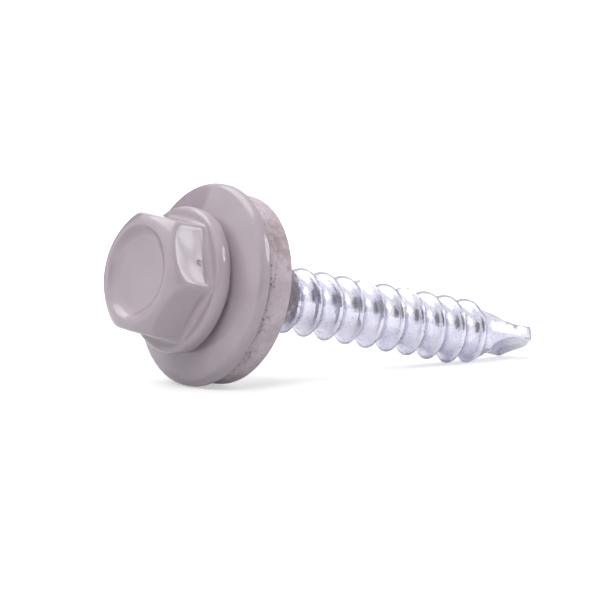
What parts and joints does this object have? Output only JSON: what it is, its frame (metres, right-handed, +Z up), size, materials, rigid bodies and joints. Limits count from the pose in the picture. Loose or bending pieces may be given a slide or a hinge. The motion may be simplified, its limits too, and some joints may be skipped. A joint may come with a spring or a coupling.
{
  "type": "self drilling screw",
  "caption": "Self drilling screw with a painted hex washer head, a captive dished steel washer with a bonded rubber seal, a right-hand tapping thread and a fluted drill point.",
  "frame": {"origin": "bottom centre of the bounding box of the screw as it lies on a flat surface", "axes": "+Z up; the screw lies in the XZ plane with its drill point towards +X, its axis sloping down towards the point"},
  "size_m": [0.0346, 0.014, 0.0138],
  "materials": {
    "zinc_plated_steel": "bright zinc plating on shank, thread and drill point; the hex head and flange carry light grey gloss paint",
    "painted_washer": "light grey gloss paint",
    "seal_rubber": "matte grey EPDM with overspray"
  },
  "bodies": {
    "screw": {"screw": "zinc_plated_steel"},
    "sealing_washer": {"metal_washer": "painted_washer", "seal_ring": "seal_rubber"}
  },
  "joints": [
    {"name": "washer_spin", "type": "hinge", "parent": "screw", "child": "sealing_washer", "pos_m": [-0.01047, 0, 0.00685], "axis": [0.9782, 0, -0.2078], "continuous": true}
  ]
}
